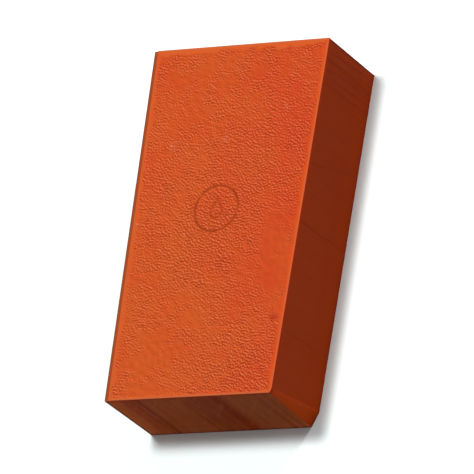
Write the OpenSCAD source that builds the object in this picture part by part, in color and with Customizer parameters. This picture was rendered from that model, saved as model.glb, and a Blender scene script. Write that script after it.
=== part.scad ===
// Clay bar for car detailing: a block of kneadable clay pressed between two release films.
// Millimetres. +Z is up and the length lies along Y. The origin is the centre of the underside.

/* [Bar] */
// Length of the bar, along Y
bar_l = 100; // [60:1:160]
// Width across the wide end, at +Y
wide_end_w = 53.6; // [40:0.2:80]
// Width across the narrow end, at -Y
narrow_end_w = 50.4; // [40:0.2:80]
// Height of the bar, with both films
bar_h = 25.4; // [12:0.2:40]

/* [Films] */
// Thickness of each release film
film_t = 0.3; // [0.25:0.05:0.6]
// Strip of bare clay beside the top film, along its -X edge
bare_strip_w = 1.2; // [0:0.1:3]
// Width of the smooth border around the top film's grained panel
border_w = 1.8; // [0.5:0.1:6]
// Depth of the grained panel below the border
panel_drop = 0.05; // [0.02:0.01:0.1]

/* [Pressed mark in the top film] */
// Outer diameter of the ring
ring_d = 13.6; // [8:0.2:24]
// Width of the pressed lines
line_w = 0.6; // [0.3:0.1:1]
// Depth of the pressed lines below the panel
press_depth = 0.1; // [0.04:0.01:0.12]
// Distance from the middle of the bar to the mark, towards the wide end
mark_y = 3; // [-20:1:20]

/* [Pared corner] */
// Length taken off the +X side at the underside
pare_l = 4; // [0.5:0.5:8]
// Width taken off the -Y end at the underside
pare_w = 1.6; // [0.2:0.2:4]
// Share of both that is taken off at the top, where the knife ran out
pare_top = 0.25; // [0.05:0.05:0.95]

/* [Hidden] */

$fn = 64;
past = 1;                                   // how far a cutter runs past what it cuts
clay_h = bar_h - 2 * film_t;
clay_top = bar_h - film_t;
panel_z = bar_h - panel_drop;

// The drop is a circle with a pointed cap, whose sides leave the circle as tangents
drop_r = ring_d * 0.15;
drop_tip = drop_r * 2.2;                    // from the circle's centre to the point
tangent_angle = acos(drop_r / drop_tip);    // from the Y axis to where a side leaves the circle

// Half the width of the bar at a given y, which falls evenly from the wide end to the narrow one
function half_width(y) = (narrow_end_w + (wide_end_w - narrow_end_w) * (y / bar_l + 0.5)) / 2;

// The bar's outline from above, drawn in by a margin, with a further strip left off along -X
module plan(margin = 0, strip = 0) {
    y = bar_l / 2 - margin;
    polygon([
        [strip + margin - half_width(-y), -y], [half_width(-y) - margin, -y],
        [half_width(y) - margin, y], [strip + margin - half_width(y), y]
    ]);
}

// Removes the corner at +X, -Y: one straight knife cut, deep at the underside and slight at the top
module pare_corner() {
    cut_turn = atan2(pare_l, pare_w);                   // of the cut's line, seen from above
    cut_depth = pare_l * cos(cut_turn);                 // from the corner to that line, at the underside
    lean = atan2(cut_depth * (1 - pare_top), bar_h);    // of the knife, away from upright
    difference() {
        children();
        translate([half_width(-bar_l / 2), -bar_l / 2, 0])
            rotate([0, 0, cut_turn])
                translate([0, cut_depth, 0])
                    rotate([lean, 0, 0])
                        translate([-bar_l / 2, -bar_l, -bar_h])
                            cube([bar_l, bar_l, 3 * bar_h]);
    }
}

// The outline of a water drop, point up
module drop(r, tip) {
    circle(r);
    polygon([
        [0, tip],
        [-r * sin(tangent_angle), r * cos(tangent_angle)],
        [r * sin(tangent_angle), r * cos(tangent_angle)]
    ]);
}

// The lines of the mark: a plain ring around the outline of a drop
module mark_lines() {
    difference() {
        circle(d = ring_d);
        circle(d = ring_d - 2 * line_w);
    }
    inner = 1 - line_w / drop_r;
    translate([0, -drop_r / 2])
        difference() {
            drop(drop_r, drop_tip);
            drop(drop_r * inner, drop_tip * inner);
        }
}

module bottom_film() {
    color("darkorange")
        pare_corner()
            linear_extrude(film_t)
                plan();
}

module clay_block() {
    color("saddlebrown")
        pare_corner()
            translate([0, 0, film_t])
                linear_extrude(clay_h)
                    plan();
}

module top_film() {
    color("orangered")
        difference() {
            pare_corner()
                translate([0, 0, clay_top])
                    linear_extrude(film_t)
                        plan(strip = bare_strip_w);
            translate([0, 0, panel_z])
                linear_extrude(panel_drop + past)
                    plan(margin = border_w, strip = bare_strip_w);
            translate([0, mark_y, panel_z - press_depth])
                linear_extrude(press_depth + past)
                    mark_lines();
        }
}

bottom_film();
clay_block();
top_film();
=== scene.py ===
"""A clay bar: a block of kneadable detailing clay between two leather-grained release films.

The CAD frame gives the sizes and places. Each plain CAD solid is replaced by a detailed mesh:
the films get their grain, smooth border and pressed mark, and the clay its knife drag.
Lengths are in metres, and MM turns millimetres into metres.
"""
import math

import bpy
import numpy as np
from mathutils import Matrix, Vector


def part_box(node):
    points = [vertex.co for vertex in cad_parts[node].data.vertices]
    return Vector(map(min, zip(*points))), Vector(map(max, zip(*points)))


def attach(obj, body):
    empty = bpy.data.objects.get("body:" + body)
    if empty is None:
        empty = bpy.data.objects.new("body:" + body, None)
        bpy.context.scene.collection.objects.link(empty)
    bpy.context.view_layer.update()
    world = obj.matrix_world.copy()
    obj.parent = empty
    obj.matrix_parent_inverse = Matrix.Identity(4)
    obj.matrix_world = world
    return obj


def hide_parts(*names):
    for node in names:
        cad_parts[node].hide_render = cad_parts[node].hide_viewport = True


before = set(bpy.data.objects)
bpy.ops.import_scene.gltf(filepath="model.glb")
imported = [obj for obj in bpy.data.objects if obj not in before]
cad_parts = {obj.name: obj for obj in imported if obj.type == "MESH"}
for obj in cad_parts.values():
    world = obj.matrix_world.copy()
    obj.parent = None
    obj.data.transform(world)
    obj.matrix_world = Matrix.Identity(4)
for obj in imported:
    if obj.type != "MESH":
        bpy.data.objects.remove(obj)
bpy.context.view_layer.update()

MM = 0.001
NEAR = 1e-6                                 # points closer than this are at the same place

# ---- What the CAD says -------------------------------------------------------------------------


def points_of(node):
    """The vertices of a CAD node, as rows of x, y, z."""
    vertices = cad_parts[node].data.vertices
    flat = np.empty(3 * len(vertices))
    vertices.foreach_get("co", flat)
    return flat.reshape(-1, 3)


def level(points, z):
    """Those of the points that are at a height."""
    return points[np.abs(points[:, 2] - z) < NEAR]


def pared_corner(points):
    """Where a level's pared corner leaves the near end and where it meets the +X side."""
    near_end = points[:, 1] < Y_LO + NEAR
    leaves = points[near_end][points[near_end][:, 0].argmax()]
    side = points[~near_end & (points[:, 0] > 0)]
    return leaves, side[side[:, 1].argmin()]


CLAY = points_of("clay_block")
TOP = points_of("top_film")
CLAY_LO, CLAY_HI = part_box("clay_block")
BOTTOM_FILM_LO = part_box("bottom_film")[0]
Y_LO, Y_HI = CLAY_LO.y, CLAY_HI.y
LENGTH, WIDTH = Y_HI - Y_LO, CLAY_HI.x - CLAY_LO.x
NARROW = -CLAY[CLAY[:, 1] < Y_LO + NEAR][:, 0].min()
WIDE = -CLAY[CLAY[:, 1] > Y_HI - NEAR][:, 0].min()
PARED_LO = pared_corner(level(CLAY, CLAY_LO.z))
PARED_HI = pared_corner(level(CLAY, CLAY_HI.z))
STRIP = TOP[TOP[:, 1] > Y_HI - NEAR][:, 0].min() + WIDE
TOP_INNER, GROOVE, PANEL, TOP_OUTER = np.unique(np.round(TOP[:, 2], 6))
BORDER = Y_HI - level(TOP, PANEL)[:, 1].max()
MARK_LO, MARK_HI = level(TOP, GROOVE).min(0), level(TOP, GROOVE).max(0)
MARK_CENTRE = (MARK_LO + MARK_HI) / 2
RING_R = (MARK_HI[0] - MARK_LO[0]) / 2
PANEL_DROP, PRESS_DEPTH = TOP_OUTER - PANEL, PANEL - GROOVE

# ---- Sizes of the detail -----------------------------------------------------------------------

FILM_PITCH = 0.252 * MM                     # between the points of a film's outer face
CLAY_PITCH = 0.4 * MM
CLAY_LEVEL_PITCH = 1.2 * MM                 # the drag marks run up the walls, so few levels do
INNER_STEP = 4                              # a film's inner face has every fourth point
FILM_EDGE = 0.1 * MM                        # edge radii
CLAY_EDGE = 0.22 * MM
FILM_EDGE_STEPS = np.array([0, 0.035, 0.1, 0.2]) * MM
CLAY_EDGE_STEPS = np.array([0, 0.07, 0.15, 0.24]) * MM
FILM_LEVELS = np.array([0, 0.6, 0.85, 1])   # shares of a film's thickness

GRAIN_PERIOD = 0.8 * MM
COARSE_PERIOD = 1.55 * GRAIN_PERIOD
FINE_SHARE, COARSE_SHARE = 0.95, 0.32       # of creases of either period in the grain
GRAIN_TURN = math.radians(66)               # across its ridges, from +X towards +Y
GRAIN_LAY = 0.45                            # how much more of them run that way
GRAIN_HEIGHT = 0.084 * MM                   # standard deviation of the relief
GRAIN_LIMIT = 2.2                           # no crest is more deviations high than this
SWELL_PERIOD = 3.2 * MM
SWELL_HEIGHT = 0.009 * MM
PATCH_PERIOD = 9 * MM
PRESS_MEAN, PRESS_VARIES = 0.66, 0.18       # how strongly the grain is pressed
PRESS_LEAST, PRESS_MOST = 0.05, 1.6

EDGE_WANDER, EDGE_RIPPLE = 0.3 * MM, 0.12 * MM      # of the border's inner edge
PANEL_EDGE = BORDER - 0.5 * MM, BORDER + 0.45 * MM  # where the border gives way to the panel
LIP_HEIGHT = 0.01 * MM                      # of the border's own unevenness
INNER_STAIN = 0.4                           # of clay on a film's inner face
# The flanks' tint is painted light and shade: one flank of each crease paler, the other darker
FLANK_SLOPE = 0.8                           # of the flanks that take the whole of their tint
IMPRINT = 0.6                               # of the film's grain, in the clay under it
IMPRINT_DROP = 2.5 * IMPRINT * GRAIN_HEIGHT     # which brings its crests down to the film
LINE_WIDTH = 0.6 * MM                       # of the pressed mark
LINE_FADE = 0.15 * LINE_WIDTH, 0.85 * LINE_WIDTH    # distances from the line's middle
LINE_CALM = 0.7                             # of the grain that a pressed line takes away
DROP_R = 0.3 * RING_R
DROP_TIP = 2.2 * DROP_R
CORNER_FADE = 0.8 * MM                      # how close to the clay's edges its drag marks stop
# The two dark upright edges are painted shade
EDGE_SHADE_R = 0.45 * MM                        # of two dark upright edges
FAR_STRETCH = 34 * MM, 42 * MM              # where the long sides' marks deepen, along Y
PROBE = 0.05 * MM                           # step for the relief's slope
SHARPEN = 1.5                               # makes up for slope lost between a film's points
FIELD_PITCH = 0.1 * MM                      # of the relief fields
FIELD_MARGIN = 2 * MM

# ---- Relief ------------------------------------------------------------------------------------


def smooth(value, low, high):
    """0 below low, 1 above high, and a smooth rise between them."""
    share = np.clip((value - low) / (high - low), 0, 1)
    return share * share * (3 - 2 * share)


def band_noise(seed, period, spread, lay=0.0):
    """A random relief over the whole bar with mean 0 and deviation 1. Its bumps are about a period
    apart, over a spread of octaves. With a lay, which is at most 1, more of its ridges run one
    way, square to GRAIN_TURN."""
    rows = int((LENGTH + 2 * FIELD_MARGIN) / FIELD_PITCH)
    columns = int((WIDTH + 2 * FIELD_MARGIN) / FIELD_PITCH)
    spectrum = np.fft.rfft2(np.random.default_rng(seed).standard_normal((rows, columns)))
    y, x = np.fft.fftfreq(rows, FIELD_PITCH)[:, None], np.fft.rfftfreq(columns, FIELD_PITCH)[None, :]
    octaves = np.log2(np.hypot(x, y) * period + NEAR)
    bias = 1 + lay * np.cos(2 * (np.arctan2(y, x) - GRAIN_TURN))
    field = np.fft.irfft2(spectrum * bias * np.exp(-0.5 * (octaves / spread) ** 2), (rows, columns))
    return field / field.std()


def sample(field, x, y):
    """Reads a relief field at places on the bar, blending the four nearest values."""
    u = (x - CLAY_LO.x + FIELD_MARGIN) / FIELD_PITCH
    v = (y - Y_LO + FIELD_MARGIN) / FIELD_PITCH
    i, j = u.astype(int), v.astype(int)
    s, t = u - i, v - j
    low = field[j, i] * (1 - s) + field[j, i + 1] * s
    high = field[j + 1, i] * (1 - s) + field[j + 1, i + 1] * s
    return low * (1 - t) + high * t


def spot(x, y, centre_x, centre_y, radius):
    """1 at a place given in millimetres, fading to nothing round it."""
    square = (x - centre_x * MM) ** 2 + (y - centre_y * MM) ** 2
    return np.exp(-square / (2 * (radius * MM) ** 2))


# The walls in the order of walls(): near end, pared corner, +X side, far end, -X side
NEAR_END, PARED_WALL, _, FAR_END, STRIP_SIDE = range(5)

# The film's border along each wall. Shares are of its width, of its colour, of orange in that
# colour, and of the pale line along its outer edge, which is a painted highlight.
BORDER_SHARES = np.array([0.45, 0.6, 0.75, 1.1, 0.6])
BORDER_SHINE = np.array([0.4, 0.7, 1.0, 1.0, 0.6])
BORDER_ORANGE = np.array([0.6, 0.3, 0.0, 1.0, 0.9])
EDGE_HIGHLIGHT_SHARES = np.array([1.0, 0.7, 0.8, 0.8, 0.3])

# Where the press bit harder (+) or slipped (-): x, y, radius in mm, and the change in strength
PRESS_SPOTS = [
    (4, 0, 9, 0.45), (14, -44, 6, 0.5), (-4, -10, 6, 0.3), (10, 22, 9, 0.2),
    (19, -2, 4.5, -0.55), (20.5, -12, 5.5, -0.75), (21, -19, 4, -0.4), (-13, -37, 6.5, -0.5),
    (-10, 44, 9, -0.35), (-22, -16, 4, -0.4), (-4, -27, 5, -0.3), (-18, 30, 5, -0.2),
    (18, 38, 8, -0.2), (-14, -46, 5, -0.4),
]

# Small pale scuffs and darker blotches on the top film: x, y and radius in mm, and how strong
SCUFFS = [
    (-16.6, 21.9, 0.5, 0.6), (-15.2, 22.6, 0.3, 0.4), (-0.6, 23.0, 0.5, 0.6),
    (0.9, 22.2, 0.3, 0.5), (-8.6, -4.0, 0.35, 0.6), (16.7, 31.0, 0.45, 0.5),
    (-23.6, 0.0, 0.35, 0.6), (-17.6, -30.0, 0.3, 0.6),
]
BLOTCHES = [(22.4, -29.0, 0.7, 0.8), (21.8, -26.9, 0.4, 0.3)]


def marks_at(x, y, marks):
    """The strength of a list of small marks at each place."""
    return sum(strength * spot(x, y, at_x, at_y, radius) for at_x, at_y, radius, strength in marks)


class Grain:
    """The leather grain of one film: how high and how strong it is at each place."""

    def __init__(self, seed):
        fine = band_noise(seed, GRAIN_PERIOD, 0.32, GRAIN_LAY)
        coarse = band_noise(seed + 3, COARSE_PERIOD, 0.25, GRAIN_LAY)
        self.creases = FINE_SHARE * fine + COARSE_SHARE * coarse
        self.swell = band_noise(seed + 1, SWELL_PERIOD, 0.6)
        self.patches = band_noise(seed + 2, PATCH_PERIOD, 0.7)

    def strength(self, x, y):
        """How strongly the grain is pressed."""
        total = PRESS_MEAN + PRESS_VARIES * sample(self.patches, x, y)
        for centre_x, centre_y, radius, change in PRESS_SPOTS:
            total = total + change * spot(x, y, centre_x, centre_y, radius)
        return np.clip(total, PRESS_LEAST, PRESS_MOST)

    def height(self, x, y):
        """The relief in metres, and the grain alone in deviations, for the painted highlight on its
        crests and the painted shade in its valleys.
        """
        creases = sample(self.creases, x, y)
        grain = GRAIN_LIMIT * np.tanh(creases * self.strength(x, y) / GRAIN_LIMIT)
        return GRAIN_HEIGHT * grain + SWELL_HEIGHT * sample(self.swell, x, y), grain


def mark_distance(x, y):
    """Distance from the middle of the mark's nearest line: a ring, and a drop's outline in it."""
    u, v = x - MARK_CENTRE[0], y - MARK_CENTRE[1]
    ring = np.abs(np.hypot(u, v) - (RING_R - LINE_WIDTH / 2))
    inner = 1 - LINE_WIDTH / 2 / DROP_R
    radius, tip = DROP_R * inner, DROP_TIP * inner
    u, v = np.abs(u), v + DROP_R / 2
    turn = math.acos(radius / tip)
    touch = np.array([radius * math.sin(turn), radius * math.cos(turn)])
    side = np.array([0, tip]) - touch
    share = np.clip(((u - touch[0]) * side[0] + (v - touch[1]) * side[1]) / (side @ side), 0, 1)
    cap = np.hypot(u - touch[0] - share * side[0], v - touch[1] - share * side[1])
    bowl = np.where(np.arctan2(u, v) > turn, np.abs(np.hypot(u, v) - radius), cap)
    return np.minimum(ring, np.minimum(cap, bowl))


# ---- The bar's outline, and lattices over it ---------------------------------------------------


def half_width(y):
    """Half the bar's width, which grows evenly from the near end to the far one."""
    return NARROW + (WIDE - NARROW) * (y - Y_LO) / LENGTH


def pared(z):
    """The pared corner's two edges at each height: rows of x, y."""
    share = ((z - CLAY_LO.z) / (CLAY_HI.z - CLAY_LO.z))[:, None]
    return [low[None, :2] * (1 - share) + high[None, :2] * share
            for low, high in zip(PARED_LO, PARED_HI)]


def walls(strip):
    """Outward normal and offset of the bar's five walls."""
    rings = []
    for z in (CLAY_LO.z, CLAY_HI.z):
        leaves, meets = pared(np.array([z]))
        ring = [(strip - NARROW, Y_LO), leaves[0], meets[0], (WIDE, Y_HI), (strip - WIDE, Y_HI)]
        rings.append([np.array([x, y, z]) for x, y in ring])
    found = []
    for i in range(5):
        start, end, above = rings[0][i], rings[0][(i + 1) % 5], rings[1][i]
        normal = np.cross(end - start, above - start)
        normal /= np.linalg.norm(normal)
        found.append((normal, normal @ start))
    return found


def spaced(length, pitch, steps):
    """Places from 0 to length: a few close to each end, and the rest about a pitch apart."""
    count = round((length - 2 * steps[-1]) / pitch)
    middle = np.linspace(steps[-1], length - steps[-1], count + 1)
    return np.concatenate([steps[:-1], middle, length - steps[-2::-1]])


def place(lattice, across, along, heights, strip=0.0):
    """Puts lattice points in the bar. The lattice's first rows along its +X side follow the pared
    corner, and the rest the side itself."""
    z = heights[lattice[:, 2]]
    row = along[lattice[:, 1]]
    left_y = Y_LO + row
    left_x = strip - half_width(left_y)
    leaves, meets = pared(z)
    fold = along[np.searchsorted(along, meets[:, 1].mean() - Y_LO)]
    on_cut = np.clip(row / fold, 0, 1)[:, None]
    cut = leaves * (1 - on_cut) + meets * on_cut
    beyond = np.clip((row - fold) / (LENGTH - fold), 0, 1)
    right_y = cut[:, 1] + beyond * (Y_HI - meets[:, 1])
    right_x = np.where(beyond > 0, half_width(right_y), cut[:, 0])
    share = across[lattice[:, 0]]
    return np.column_stack([
        left_x * (1 - share) + right_x * share, left_y * (1 - share) + right_y * share, z
    ])


def lattice_shell(nx, ny, nz):
    """The outer points of an nx by ny by nz lattice: a grid of their indices, and their places."""
    outer = np.zeros((nx, ny, nz), bool)
    outer[[0, -1]] = outer[:, [0, -1]] = outer[:, :, [0, -1]] = True
    index = np.full((nx, ny, nz), -1)
    index[outer] = np.arange(outer.sum())
    return index, np.argwhere(outer)


def quads(grid, flip):
    """The four-sided faces between the points of a grid of indices."""
    ring = np.stack([grid[:-1, :-1], grid[1:, :-1], grid[1:, 1:], grid[:-1, 1:]], -1).reshape(-1, 4)
    return (ring[:, ::-1] if flip else ring).tolist()


def wall_quads(index):
    """The faces of a lattice's four sides."""
    return (quads(index[0], True) + quads(index[-1], False)
            + quads(index[:, 0], False) + quads(index[:, -1], True))


def coarse_faces(grid, step, flip):
    """Larger faces over a grid, from every few of its points. Those along the grid's edge keep all
    of the edge's points, so that the mesh stays closed."""
    rows = [*range(0, grid.shape[0] - 1, step), grid.shape[0] - 1]
    columns = [*range(0, grid.shape[1] - 1, step), grid.shape[1] - 1]
    faces = []
    for r0, r1 in zip(rows, rows[1:]):
        for c0, c1 in zip(columns, columns[1:]):
            sides = [
                (grid[r0:r1 + 1, c0], c0 == 0), (grid[r1, c0:c1 + 1], r1 == rows[-1]),
                (grid[r0:r1 + 1, c1][::-1], c1 == columns[-1]), (grid[r0, c0:c1 + 1][::-1], r0 == 0),
            ]
            ring = [int(p) for side, whole in sides for p in (side[:-1] if whole else side[:1])]
            faces.append(ring[::-1] if flip else ring)
    return faces


def rounded(points, planes, radius):
    """Rounds a convex solid's edges: each point moves to where a ball rolled round inside it would
    touch. Flat stretches stay where they are."""
    core = points.copy()
    for _ in range(6):
        for normal, offset in planes:
            core -= np.outer(np.maximum(core @ normal - offset + radius, 0), normal)
    away = points - core
    return core + away * (radius / np.linalg.norm(away, axis=1))[:, None]


def set_normals(mesh, sharp, normals):
    """Creases the edges between sharp points, and gives the other points their own normals."""
    ends = np.empty(2 * len(mesh.edges), int)
    mesh.edges.foreach_get("vertices", ends)
    crease = mesh.attributes.new("sharp_edge", "BOOLEAN", "EDGE")
    crease.data.foreach_set("value", sharp[ends].reshape(-1, 2).all(1))
    corners = np.empty(len(mesh.loops), int)
    mesh.loops.foreach_get("vertex_index", corners)
    split = np.empty(3 * len(corners))
    mesh.corner_normals.foreach_get("vector", split)
    split = split.reshape(-1, 3)
    given = np.abs(normals[corners]).sum(1) > 0
    split[given] = normals[corners][given]
    mesh.normals_split_custom_set(split.tolist())


def make_mesh(name, points, faces, attributes, sharp=None, normals=None):
    """A smooth-shaded object from points and faces, without the points that no face uses. Edges
    between two sharp points are creases. Normals, where they aren't zero, are the relief's own."""
    used = np.unique([p for face in faces for p in face])
    renumber = np.full(len(points), -1)
    renumber[used] = np.arange(len(used))
    renumber = renumber.tolist()
    mesh = bpy.data.meshes.new(name)
    mesh.from_pydata(points[used].tolist(), [], [[renumber[p] for p in face] for face in faces])
    for key, values in attributes.items():
        layer = mesh.attributes.new(key, "FLOAT", "POINT")
        layer.data.foreach_set("value", values[used].astype(np.float32))
    mesh.polygons.foreach_set("use_smooth", [True] * len(mesh.polygons))
    if normals is not None:
        set_normals(mesh, sharp[used], normals[used])
    piece = bpy.data.objects.new(name, mesh)
    bpy.context.scene.collection.objects.link(piece)
    return piece


# ---- The knife's marks on the clay -------------------------------------------------------------

DRAG = band_noise(41, 2.4 * MM, 0.9)
END_DRAG = 0.03 * MM                        # depth of the ends' marks
SIDE_DRAG, FAR_DRAG = 0.008, 0.016          # in mm: of the sides' marks, and more at the far end
END_LEAN, SIDE_LEAN = 0.02, 0.05            # how far the marks lean as they climb
END_ROW = 0.2 * LENGTH                      # the row of DRAG that the ends read
APART = 0.3                                 # sets the two ends, and the two sides, apart in DRAG

# Dark streaks up the two ends: place along X and half the width in mm, and how dark
# The last of them, at -25.1 mm, lies on the near end's -X edge: painted shade along that edge
END_STREAKS = [
    (3.1, 6.4, 0.58), (7.6, 1.9, 0.4), (-3.1, 0.5, 0.3), (-15.7, 0.7, 0.8), (-17.4, 0.6, 0.35),
    (-7.5, 1.2, 0.15), (-12.8, 0.4, 0.3), (-20.2, 0.5, 0.3), (19.4, 0.7, 0.5), (22.3, 0.6, 0.3),
    (13.2, 0.4, 0.25), (15.6, 0.3, 0.2), (-22.4, 0.3, 0.3), (0.4, 0.4, 0.15), (-25.1, 0.8, 0.8),
]

# Scored lines up the long sides: place along Y in mm, how far each leans, and how dark
SCORE_LEVEL = 12.7                          # height in mm at which those places are
SIDE_SCORES = [
    (-1.5, -0.03, 0.8), (-31.5, -0.05, 0.4), (17.5, -0.25, 0.35), (26.4, -0.1, 0.3),
    (38.0, -0.04, 0.5), (40.2, -0.06, 0.6), (42.5, -0.08, 0.7), (44.8, -0.05, 0.6),
    (47.3, -0.08, 0.6),
]


def drag_of_end(x, y, z):
    """Depth of the knife's drag marks on the two ends. They run up the wall and lean a little."""
    lean = END_LEAN * (z - CLAY_LO.z)
    return END_DRAG * sample(DRAG, x + lean, END_ROW + lean + APART * y)


def drag_of_side(x, y, z):
    """Depth of the fainter marks on the long sides, which are deeper close to the far end."""
    depth = (SIDE_DRAG + FAR_DRAG * smooth(y, *FAR_STRETCH)) * MM
    return depth * sample(DRAG, SIDE_LEAN * z + APART * x, y)


# ---- The three pieces --------------------------------------------------------------------------


class Face:
    """A film's outer face at each of some places: how high it stands above its nominal level, how
    far in it is from each wall, and how much of it is panel, pressed line and grain."""

    def __init__(self, x, y, planes, outer, grain, marked):
        self.insets = np.array([offset - x * n[0] - y * n[1] - outer * n[2] for n, offset in planes])
        self.inset = self.insets.min(0)
        wander = EDGE_WANDER * sample(grain.patches, x, y) + EDGE_RIPPLE * sample(grain.swell, x, y)
        panel_inset = (self.insets / BORDER_SHARES[:, None]).min(0) + wander
        self.panel = smooth(panel_inset, *PANEL_EDGE)
        self.pressed = 1 - smooth(mark_distance(x, y), *LINE_FADE) if marked else 0 * x
        relief, self.grain_shading = grain.height(x, y)
        relief = relief * (1 - LINE_CALM * self.pressed) - PANEL_DROP - PRESS_DEPTH * self.pressed
        lip = LIP_HEIGHT * sample(grain.swell, x, y) * smooth(self.inset, 0, BORDER / 2)
        self.height = relief * self.panel + lip
        rested_on = outer < CLAY_LO.z
        if rested_on:
            self.height = np.minimum(self.height, 0)

    def looks(self, x, y, climb, on_inner, on_outer, marked):
        """What the material is told at each point of the film."""
        wall = self.insets.argmin(0)
        bare = self.panel * (1 - self.pressed) * on_outer
        border = (1 - self.panel) * on_outer
        # The pale line along the outer edge is a painted highlight
        edge = 1 - smooth(self.inset, 0.3 * MM, 0.75 * MM)
        return {
            # the grain drives a painted highlight on the crests and painted shade in the valleys
            "grain": self.grain_shading * bare,
            # painted light and shade by slope: one flank of each crease paler, the other darker
            "flank": np.clip(-climb / FLANK_SLOPE, -1, 1) * bare,
            "scuff": marks_at(x, y, SCUFFS) * on_outer * marked,
            "blotch": marks_at(x, y, BLOTCHES) * on_outer * marked,
            "border": border * BORDER_SHINE[wall],
            "orange": border * BORDER_ORANGE[wall],
            "edge": edge * EDGE_HIGHLIGHT_SHARES[wall] * on_outer,
            "cut": np.where(on_inner & (self.inset > BORDER / 4), INNER_STAIN, 1.0) * ~on_outer,
            "mark": self.pressed * self.panel * on_outer,
        }


def make_film(name, inner, outer, strip, grain, marked):
    """One release film between its inner and outer heights: grained and bordered outside, plain
    inside, where it has far fewer points. Nothing stands out of the face that the bar rests on."""
    facing = 1 if outer > inner else -1
    across = spaced(WIDTH, FILM_PITCH, FILM_EDGE_STEPS) / WIDTH
    along = spaced(LENGTH, FILM_PITCH, FILM_EDGE_STEPS)
    heights = inner + (outer - inner) * FILM_LEVELS
    if facing < 0:
        heights = heights[::-1]
    index, lattice = lattice_shell(len(across), len(along), len(heights))
    flat = place(lattice, across, along, heights, strip)
    planes = walls(strip)
    outward = (np.array([0, 0, facing]), facing * outer)
    on_inner = np.abs(flat[:, 2] - inner) < NEAR
    on_outer = np.abs(flat[:, 2] - outer) < NEAR
    points = flat.copy()
    points[~on_inner] = rounded(flat[~on_inner], planes + [outward], FILM_EDGE)

    def face_at(x, y):
        return Face(x, y, planes, outer, grain, marked)

    x, y = flat[:, 0], flat[:, 1]
    face = face_at(x, y)
    points[:, 2] += facing * face.height * on_outer
    slope_x = (face_at(x + PROBE, y).height - face_at(x - PROBE, y).height) / (2 * PROBE)
    slope_y = (face_at(x, y + PROBE).height - face_at(x, y - PROBE).height) / (2 * PROBE)
    climb = slope_x * math.cos(GRAIN_TURN) + slope_y * math.sin(GRAIN_TURN)
    normals = np.column_stack([-SHARPEN * slope_x, -SHARPEN * slope_y, np.ones(len(x))])
    normals[:, 2] *= facing
    normals /= np.linalg.norm(normals, axis=1)[:, None]
    normals[~on_outer | (face.inset < 1.5 * FILM_EDGE)] = 0

    outer_faces = index[:, :, -1 if facing > 0 else 0]
    inner_faces = index[:, :, 0 if facing > 0 else -1]
    faces = (quads(outer_faces, facing < 0) + wall_quads(index)
             + coarse_faces(inner_faces, INNER_STEP, facing < 0))
    on_rim = on_inner & (face.inset < NEAR)
    looks = face.looks(x, y, climb, on_inner, on_outer, marked)
    return make_mesh(name, points, faces, looks, on_rim, normals)


def clay_looks(x, y, z, insets, on_wall, end, pared_wall):
    """What the material is told at each point of the clay."""
    # Painted shade along two upright edges of the block
    upright_edge_shade = sum(np.exp(-((x - at_x) ** 2 + (y - at_y) ** 2) / EDGE_SHADE_R ** 2)
                  for at_x, at_y in [(WIDE, Y_HI), (-NARROW, Y_LO)])
    streak = sum(dark * np.exp(-((x / MM - at) / half) ** 4) for at, half, dark in END_STREAKS)
    # A redder, darker band along the top of the walls: painted shade under the film's edge
    under_film_shade = smooth(z, CLAY_HI.z - 1.4 * MM, CLAY_HI.z - 0.3 * MM)
    from_side = insets[STRIP_SIDE]
    strip = (z > CLAY_HI.z - CLAY_EDGE) * (1 - smooth(from_side, STRIP, STRIP + BORDER))
    return {
        "end": end * 1.0,
        "pared": 1.0 * pared_wall,
        "upright_edge_shade": np.clip(upright_edge_shade, 0, 1),
        "under_film_shade": on_wall * (0.9 - 0.35 * end) * under_film_shade,
        "streak": np.clip(streak, 0, 1) * end,
        "strip": strip,
        "lip": strip * (1 - smooth(from_side, 0.1 * MM, 0.35 * MM)),
    }


def make_clay(name, grain):
    """The block: its cut walls carry the knife's drag, and its top the grain of the film."""
    across = spaced(WIDTH, CLAY_PITCH, CLAY_EDGE_STEPS) / WIDTH
    along = spaced(LENGTH, CLAY_PITCH, CLAY_EDGE_STEPS)
    heights = CLAY_LO.z + spaced(CLAY_HI.z - CLAY_LO.z, CLAY_LEVEL_PITCH, CLAY_EDGE_STEPS)
    index, lattice = lattice_shell(len(across), len(along), len(heights))
    flat = place(lattice, across, along, heights)
    planes = walls(0)
    insets = np.array([offset - flat @ normal for normal, offset in planes])
    inset = insets.min(0)
    caps = [(np.array([0, 0, 1]), CLAY_HI.z), (np.array([0, 0, -1]), -CLAY_LO.z)]
    points = rounded(flat, planes + caps, CLAY_EDGE)

    x, y, z = flat.T
    on_wall = inset < NEAR
    which = insets.argmin(0)
    end = on_wall * np.isin(which, (NEAR_END, FAR_END))
    away_from_rims = smooth(np.minimum(z - CLAY_LO.z, CLAY_HI.z - z), 0, CORNER_FADE)
    drag = end * drag_of_end(x, y, z) + (on_wall & ~end.astype(bool)) * drag_of_side(x, y, z)
    for number, (normal, _) in enumerate(planes):
        mine = on_wall & (which == number)
        corner = smooth(np.delete(insets, number, 0).min(0), 0, CORNER_FADE)
        points -= np.outer(drag * mine * corner * away_from_rims, normal)
    on_top = (z > CLAY_HI.z - NEAR) & ~on_wall
    imprint = IMPRINT * grain.height(x, y)[0] * smooth(inset, BORDER / 2, BORDER)
    points[:, 2] += on_top * (imprint - IMPRINT_DROP * smooth(inset, 0, BORDER))

    faces = quads(index[:, :, -1], False) + quads(index[:, :, 0], True) + wall_quads(index)
    pared_wall = on_wall & (which == PARED_WALL)
    return make_mesh(name, points, faces, clay_looks(x, y, z, insets, on_wall, end, pared_wall))


# ---- Materials ---------------------------------------------------------------------------------


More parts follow.
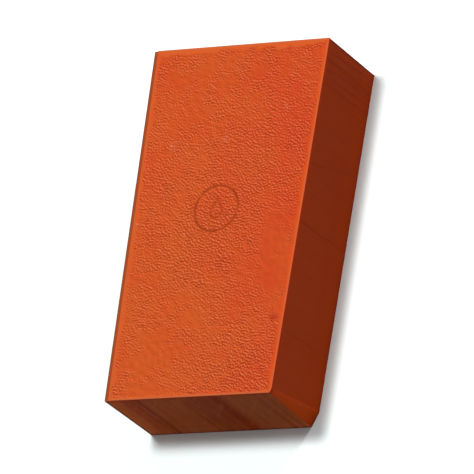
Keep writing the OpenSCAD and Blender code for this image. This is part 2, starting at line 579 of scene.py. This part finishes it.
class Shader:
    """A material's node tree, with a short call for each kind of node that it uses."""

    def __init__(self, name):
        self.material = bpy.data.materials.new(name)
        self.material.use_nodes = True
        self.tree = self.material.node_tree
        self.tree.nodes.clear()
        self.here = self.tree.nodes.new("ShaderNodeTexCoord").outputs["Object"]

    def feed(self, socket, value):
        """Links the socket to value where that is a node's output, or else sets it."""
        if isinstance(value, bpy.types.NodeSocket):
            self.tree.links.new(value, socket)
        else:
            socket.default_value = value

    def attribute(self, name):
        """A value that the mesh holds at each point."""
        node = self.tree.nodes.new("ShaderNodeAttribute")
        node.attribute_name = name
        return node.outputs["Fac"]

    def noise(self, period, detail=2.0, rough=0.5, stretch=(1, 1, 1), turn=(0, 0, 0)):
        """A soft random value of about 0.5. Its blobs are a period across, times the stretch along
        axes that are turned by so many degrees."""
        mapping = self.tree.nodes.new("ShaderNodeMapping")
        mapping.vector_type = "TEXTURE"
        mapping.inputs["Scale"].default_value = stretch
        mapping.inputs["Rotation"].default_value = [math.radians(angle) for angle in turn]
        self.feed(mapping.inputs["Vector"], self.here)
        node = self.tree.nodes.new("ShaderNodeTexNoise")
        self.feed(node.inputs["Vector"], mapping.outputs["Vector"])
        node.inputs["Scale"].default_value = 1 / period
        node.inputs["Detail"].default_value = detail
        node.inputs["Roughness"].default_value = rough
        return node.outputs["Fac"]

    def ramp(self, value, low, high, to_low=0.0, to_high=1.0):
        """Carries value from the range low to high over to another range, and holds it there."""
        node = self.tree.nodes.new("ShaderNodeMapRange")
        for socket, given in zip(node.inputs, (value, low, high, to_low, to_high)):
            self.feed(socket, given)
        return node.outputs["Result"]

    def math(self, operation, a, b=0.0):
        """One arithmetic step on a, or on a and b."""
        node = self.tree.nodes.new("ShaderNodeMath")
        node.operation = operation
        self.feed(node.inputs[0], a)
        self.feed(node.inputs[1], b)
        return node.outputs[0]

    def mix(self, share, a, b):
        """A colour between a and b."""
        node = self.tree.nodes.new("ShaderNodeMix")
        node.data_type = "RGBA"
        self.feed(node.inputs["Factor"], share)
        for name, given in (("A", a), ("B", b)):
            socket = next(s for s in node.inputs if s.name == name and s.type == "RGBA")
            self.feed(socket, given)
        return next(s for s in node.outputs if s.type == "RGBA")

    def axis(self, name):
        """The place along one axis, in metres."""
        node = self.tree.nodes.new("ShaderNodeSeparateXYZ")
        self.feed(node.inputs[0], self.here)
        return node.outputs[name]

    def scaled(self, name, share):
        """A share of the mesh's value of that name."""
        return self.math("MULTIPLY", self.attribute(name), share)

    def bump(self, height, distance, strength):
        """The normal of a fine relief that the mesh doesn't carry."""
        node = self.tree.nodes.new("ShaderNodeBump")
        self.feed(node.inputs["Height"], height)
        node.inputs["Distance"].default_value = distance
        node.inputs["Strength"].default_value = strength
        return node.outputs["Normal"]

    def finish(self, **sockets):
        """Makes the surface shader, sets or links its sockets, and returns the material."""
        shader = self.tree.nodes.new("ShaderNodeBsdfPrincipled")
        for name, value in sockets.items():
            self.feed(shader.inputs[name.replace("_", " ")], value)
        output = self.tree.nodes.new("ShaderNodeOutputMaterial")
        self.tree.links.new(shader.outputs[0], output.inputs["Surface"])
        return self.material


def rgb(red, green, blue):
    """An opaque colour."""
    return (red, green, blue, 1.0)


# Colours of the films
FILM_RED, FILM_ORANGE = rgb(0.472, 0.0468, 0.0106), rgb(0.472, 0.0732, 0.0132)
# Painted shade in the grain's valleys and a painted highlight on its crests
PAINTED_VALLEY_SHADE, PAINTED_CREST_HIGHLIGHT = rgb(0.30, 0.020, 0.003), rgb(0.62, 0.17, 0.065)
# Painted shade and painted light on the two flanks of each crease
PAINTED_FLANK_SHADE, PAINTED_FLANK_LIGHT = rgb(0.44, 0.030, 0.001), rgb(0.53, 0.143, 0.066)
CLOUD = rgb(0.44, 0.061, 0.010)
BORDER_RED, BORDER_AMBER = rgb(0.550, 0.062, 0.009), rgb(0.530, 0.088, 0.017)
PRESSED_LINE = rgb(0.21, 0.030, 0.005)
SCUFFED, BLOTCHED = rgb(0.62, 0.20, 0.11), rgb(0.36, 0.020, 0.012)
# A painted highlight: the pale line along the film's outer edge
PAINTED_EDGE_HIGHLIGHT = rgb(0.46, 0.115, 0.040)
CLAY_STAIN = rgb(0.20, 0.014, 0.001)

# Colours of the clay's ends, whose left is towards -X
END_MIDDLE, END_LEFT_OF_MIDDLE = rgb(0.214, 0.0405, 0.0055), rgb(0.223, 0.029, 0.0008)
END_LEFT, END_RIGHT = rgb(0.327, 0.062, 0.0085), rgb(0.192, 0.042, 0.0082)
# The two low colours are paler towards the floor: painted light against the shade there
END_LOW_PAINTED_LIGHT, END_FOOT_PAINTED_LIGHT = rgb(0.32, 0.066, 0.018), rgb(0.45, 0.12, 0.045)
# The low streak colour is paler: painted light against the shade near the floor
STREAK_HIGH, STREAK_LOW_PAINTED_LIGHT = rgb(0.120, 0.009, 0.0002), rgb(0.21, 0.022, 0.0015)
END_FINE, END_SCRATCH = rgb(0.151, 0.022, 0.002), rgb(0.25, 0.060, 0.014)

# Colours of its long sides, and of the rest of it
SIDE_DARK, SIDE_PALE = rgb(0.163, 0.0166, 0.0017), rgb(0.171, 0.0179, 0.0017)
# The foot colour is paler: painted light against the floor's shade
SIDE_NEAR, SIDE_FOOT_PAINTED_LIGHT = rgb(0.197, 0.0222, 0.0015), rgb(0.220, 0.0228, 0.0026)
SIDE_FINE, SCORE = rgb(0.13, 0.011, 0.001), rgb(0.09, 0.007, 0.001)
# The second colour is painted shade along two upright edges
PARED, PAINTED_EDGE_SHADE = rgb(0.290, 0.032, 0.0025), rgb(0.03, 0.009, 0.004)
# Painted shade under the film's edge
UNDER_FILM_SHADE = rgb(0.215, 0.0150, 0.0006)
BARE_STRIP, STRIP_LIP = rgb(0.33, 0.062, 0.016), rgb(0.11, 0.024, 0.008)


def film_material(name):
    """Orange release film, nearly without gloss. Painted shade makes it redder in its grain's valleys
    and on one flank of each crease; a painted highlight makes it paler on the crests, on the other
    flank and along its outer edge. Clay is drawn over its cut edge."""
    s = Shader(name)
    left = s.ramp(s.axis("X"), 24 * MM, -8 * MM, 0, 0.6)
    near = s.ramp(s.axis("Y"), 45 * MM, -30 * MM, 0, 0.3)
    patch = s.ramp(s.noise(14 * MM, 3.0, 0.55), 0.35, 0.65, -0.25, 0.35)
    hue = s.math("ADD", patch, s.math("ADD", left, near))
    base = s.mix(hue, FILM_RED, FILM_ORANGE)
    grain, flank = s.attribute("grain"), s.attribute("flank")
    # Painted shade in the valleys, and a painted highlight on the crests
    base = s.mix(s.ramp(grain, 0, -GRAIN_LIMIT, 0, 0.18), base, PAINTED_VALLEY_SHADE)
    base = s.mix(s.ramp(grain, 0.2, GRAIN_LIMIT, 0, 0.26), base, PAINTED_CREST_HIGHLIGHT)
    # Painted shade on one flank of each crease, and painted light on the other
    base = s.mix(s.ramp(flank, 0, -1, 0, 0.85), base, PAINTED_FLANK_SHADE)
    base = s.mix(s.ramp(flank, 0.08, 0.95), base, PAINTED_FLANK_LIGHT)
    cloud = s.ramp(s.noise(3.5 * MM, 4.0, 0.6), 0.3, 0.75, 0, 0.14)
    base = s.mix(cloud, base, CLOUD)
    border = s.mix(s.attribute("orange"), BORDER_RED, BORDER_AMBER)
    base = s.mix(s.scaled("border", 0.85), base, border)
    worn = s.ramp(s.noise(4 * MM, 2.0), 0.38, 0.6, 0.3, 0.8)
    base = s.mix(s.scaled("mark", worn), base, PRESSED_LINE)
    torn = s.ramp(s.noise(0.5 * MM, 2.0), 0.42, 0.62)
    base = s.mix(s.scaled("scuff", torn), base, SCUFFED)
    base = s.mix(s.attribute("blotch"), base, BLOTCHED)
    # Painted highlight along the outer edge
    base = s.mix(s.scaled("edge", 0.7), base, PAINTED_EDGE_HIGHLIGHT)
    base = s.mix(s.scaled("cut", 0.85), base, CLAY_STAIN)
    roughness = s.ramp(s.noise(1.2 * MM, 3.0), 0.3, 0.7, 0.36, 0.5)
    pores = s.bump(s.noise(0.28 * MM, 2.0, 0.6), 0.012 * MM, 0.6)
    return s.finish(Base_Color=base, Roughness=roughness, Normal=pores, Specular_IOR_Level=0.03)


def scores(s):
    """How dark the long sides' scored lines are. Each wanders a little as it climbs, and goes
    right through the block's colour."""
    wander = s.ramp(s.noise(4 * MM, 2.0), 0, 1, -0.6 * MM, 0.6 * MM)
    y = s.math("ADD", s.axis("Y"), wander)
    total = 0.0
    for at, lean, dark in SIDE_SCORES:
        foot = (at - SCORE_LEVEL * lean) * MM
        middle = s.math("ADD", s.math("MULTIPLY", s.axis("Z"), lean), foot)
        away = s.math("ABSOLUTE", s.math("SUBTRACT", y, middle))
        total = s.math("ADD", total, s.ramp(away, 0.1 * MM, 0.45 * MM, dark, 0))
    return total


def end_colour(s, fine):
    """The two ends: bands from side to side, a paler foot of painted light against the floor's shade,
    and dark streaks and scratches.
    """
    x, z = s.axis("X"), s.axis("Z")
    left, right = s.ramp(x, -19.5 * MM, -23 * MM), s.ramp(x, 8 * MM, 14 * MM)
    base = s.mix(s.ramp(x, -14 * MM, -17 * MM), END_MIDDLE, END_LEFT_OF_MIDDLE)
    base = s.mix(right, s.mix(left, base, END_LEFT), END_RIGHT)
    low = s.ramp(z, 9 * MM, 0.5 * MM)
    # Painted light: paler towards the floor, against the shade there, also for the streaks
    base = s.mix(s.math("MULTIPLY", low, 0.6), base, END_LOW_PAINTED_LIGHT)
    base = s.mix(s.ramp(z, 4.5 * MM, 0, 0, 0.75), base, END_FOOT_PAINTED_LIGHT)
    base = s.mix(s.attribute("streak"), base, s.mix(low, STREAK_HIGH, STREAK_LOW_PAINTED_LIGHT))
    base = s.mix(s.math("MULTIPLY", fine, 0.35), base, END_FINE)
    scratches = s.noise(0.9 * MM, 2.0, 0.5, (1, 1, 9), (0, 38, 0))
    return s.mix(s.ramp(scratches, 0.52, 0.72, 0, 0.3), base, END_SCRATCH)


def side_colour(s, fine):
    """The long sides, which are plainer: clouds, a redder near part and a redder foot, the foot also
    paler as painted light against the floor's shade, and scored lines.
    """
    y = s.axis("Y")
    clouds = s.ramp(s.noise(16 * MM, 2.0, 0.5, (1, 1, 8)), 0.3, 0.7)
    base = s.mix(clouds, SIDE_DARK, SIDE_PALE)
    base = s.mix(s.ramp(y, 10 * MM, -50 * MM, 0, 0.4), base, SIDE_NEAR)
    base = s.mix(s.math("MULTIPLY", fine, s.ramp(y, *FAR_STRETCH, 0.12, 0.4)), base, SIDE_FINE)
    base = s.mix(s.math("MULTIPLY", scores(s), 0.5), base, SCORE)
    # Painted light: a paler foot, against the floor's shade
    return s.mix(s.ramp(s.axis("Z"), 8 * MM, 0.5 * MM, 0, 0.6), base, SIDE_FOOT_PAINTED_LIGHT)


def clay_material(name):
    """Rust-brown clay: waxy, with the knife's drag as streaks up its walls, strongest on the ends."""
    s = Shader(name)
    fine = s.ramp(s.noise(1.3 * MM, 3.0, 0.65, (1, 1, 25)), 0.3, 0.7)
    base = s.mix(s.attribute("end"), side_colour(s, fine), end_colour(s, fine))
    base = s.mix(s.scaled("pared", 0.8), base, PARED)
    # Painted shade along two upright edges
    base = s.mix(s.scaled("upright_edge_shade", 0.85), base, PAINTED_EDGE_SHADE)
    # Painted shade under the film's edge, along the top of the walls
    base = s.mix(s.attribute("under_film_shade"), base, UNDER_FILM_SHADE)
    base = s.mix(s.attribute("strip"), base, BARE_STRIP)
    base = s.mix(s.scaled("lip", 0.8), base, STRIP_LIP)
    roughness = s.ramp(s.noise(2 * MM, 3.0, 0.5, (1, 1, 12)), 0.3, 0.7, 0.48, 0.66)
    lines = s.bump(s.noise(0.5 * MM, 2.0, 0.6, (1, 1, 30)), 0.02 * MM, 0.5)
    return s.finish(Base_Color=base, Roughness=roughness, Normal=lines, Specular_IOR_Level=0.01)


# ---- The stage ---------------------------------------------------------------------------------

CENTRE = Vector((0, 0, CLAY_HI.z / 2))
# The cool colour is a painted tint that offsets the bar's orange light on the floor
FLOOR_WHITE, FLOOR_COOL = rgb(0.985, 0.985, 0.985), rgb(0.905, 0.985, 0.985)


def toward(azimuth, elevation):
    """Direction to a place seen at an azimuth, counted from +X towards +Y, and an elevation."""
    a, e = math.radians(azimuth), math.radians(elevation)
    return Vector((math.cos(a) * math.cos(e), math.sin(a) * math.cos(e), math.sin(e)))


def add_softbox(name, azimuth, elevation, distance, size, power):
    """A square area light that points at the bar."""
    light = bpy.data.lights.new(name, "AREA")
    light.size = size
    light.energy = power
    lamp = bpy.data.objects.new(name, light)
    direction = toward(azimuth, elevation)
    lamp.location = CENTRE + direction * distance
    lamp.rotation_euler = direction.to_track_quat("Z", "Y").to_euler()
    lamp.visible_camera = False
    bpy.context.scene.collection.objects.link(lamp)


def add_world(strength):
    """Even white light from all round."""
    world = bpy.data.worlds.new("fill")
    world.use_nodes = True
    background = world.node_tree.nodes["Background"]
    background.inputs["Color"].default_value = rgb(1, 1, 1)
    background.inputs["Strength"].default_value = strength
    bpy.context.scene.world = world


def floor_material():
    """White, with a painted cool tint close to the bar that offsets the bar's orange light on the
    floor.
    """
    s = Shader("white floor")
    across, along = s.math("MULTIPLY", s.axis("X"), LENGTH / WIDTH), s.axis("Y")
    square = s.math("ADD", s.math("MULTIPLY", across, across), s.math("MULTIPLY", along, along))
    near = s.ramp(s.math("SQRT", square), 1.3 * LENGTH, 0.75 * LENGTH)
    # Painted cool tint near the bar, against its orange light on the floor
    base = s.mix(near, FLOOR_WHITE, FLOOR_COOL)
    return s.finish(Base_Color=base, Roughness=1.0, Specular_IOR_Level=0.0)


def add_floor(size):
    """A plain floor at the bar's underside."""
    h, z = size / 2, BOTTOM_FILM_LO.z
    mesh = bpy.data.meshes.new("floor")
    mesh.from_pydata([(-h, -h, z), (h, -h, z), (h, h, z), (-h, h, z)], [], [(0, 1, 2, 3)])
    floor = bpy.data.objects.new("floor", mesh)
    bpy.context.scene.collection.objects.link(floor)
    mesh.materials.append(floor_material())


def add_camera(azimuth, elevation, roll, aim, distance, lens):
    """A long lens turned about its own axis by roll. Azimuth 0 looks along +Y and 90 along -X."""
    a, e, r = (math.radians(angle) for angle in (azimuth, elevation, roll))
    back = Vector((math.sin(a) * math.cos(e), -math.cos(a) * math.cos(e), math.sin(e)))
    level_right = Vector((math.cos(a), math.sin(a), 0))
    level_up = back.cross(level_right)
    right = level_right * math.cos(r) + level_up * math.sin(r)
    up = level_up * math.cos(r) - level_right * math.sin(r)
    camera = bpy.data.objects.new("camera", bpy.data.cameras.new("camera"))
    camera.data.lens = lens
    turn = Matrix((right, up, back)).transposed().to_4x4()
    camera.matrix_world = Matrix.Translation(aim + back * distance) @ turn
    bpy.context.scene.collection.objects.link(camera)
    bpy.context.scene.camera = camera


def set_stage():
    """The camera, an even fill, a floor, and two softboxes: one overhead and one that rakes."""
    bpy.context.scene.view_settings.view_transform = "Standard"
    add_camera(azimuth=54.9, elevation=52.5, roll=-52.1,
               aim=Vector((-0.15, 0.05, 12.7)) * MM, distance=20 * LENGTH, lens=576)
    add_world(strength=0.25)
    add_floor(size=12.0)
    add_softbox("overhead", azimuth=133, elevation=82, distance=0.9, size=0.16, power=7.4)
    add_softbox("raking", azimuth=60, elevation=11, distance=2.2, size=0.2, power=44)


# ---- Putting it together -----------------------------------------------------------------------


def main():
    """Builds the stage and the three pieces."""
    set_stage()
    top_grain, bottom_grain = Grain(11), Grain(23)
    clay = make_clay("kneadable_clay", top_grain)
    clay.data.materials.append(clay_material("rust clay"))
    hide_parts("clay_block")
    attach(clay, "bar")

    top = make_film("grained_top_film", TOP_INNER, TOP_OUTER, STRIP, top_grain, True)
    top.data.materials.append(film_material("orange top film"))
    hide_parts("top_film")
    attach(top, "top_film")

    bottom = make_film("grained_bottom_film", CLAY_LO.z, BOTTOM_FILM_LO.z, 0.0, bottom_grain, False)
    bottom.data.materials.append(film_material("orange bottom film"))
    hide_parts("bottom_film")
    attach(bottom, "bottom_film")


main()
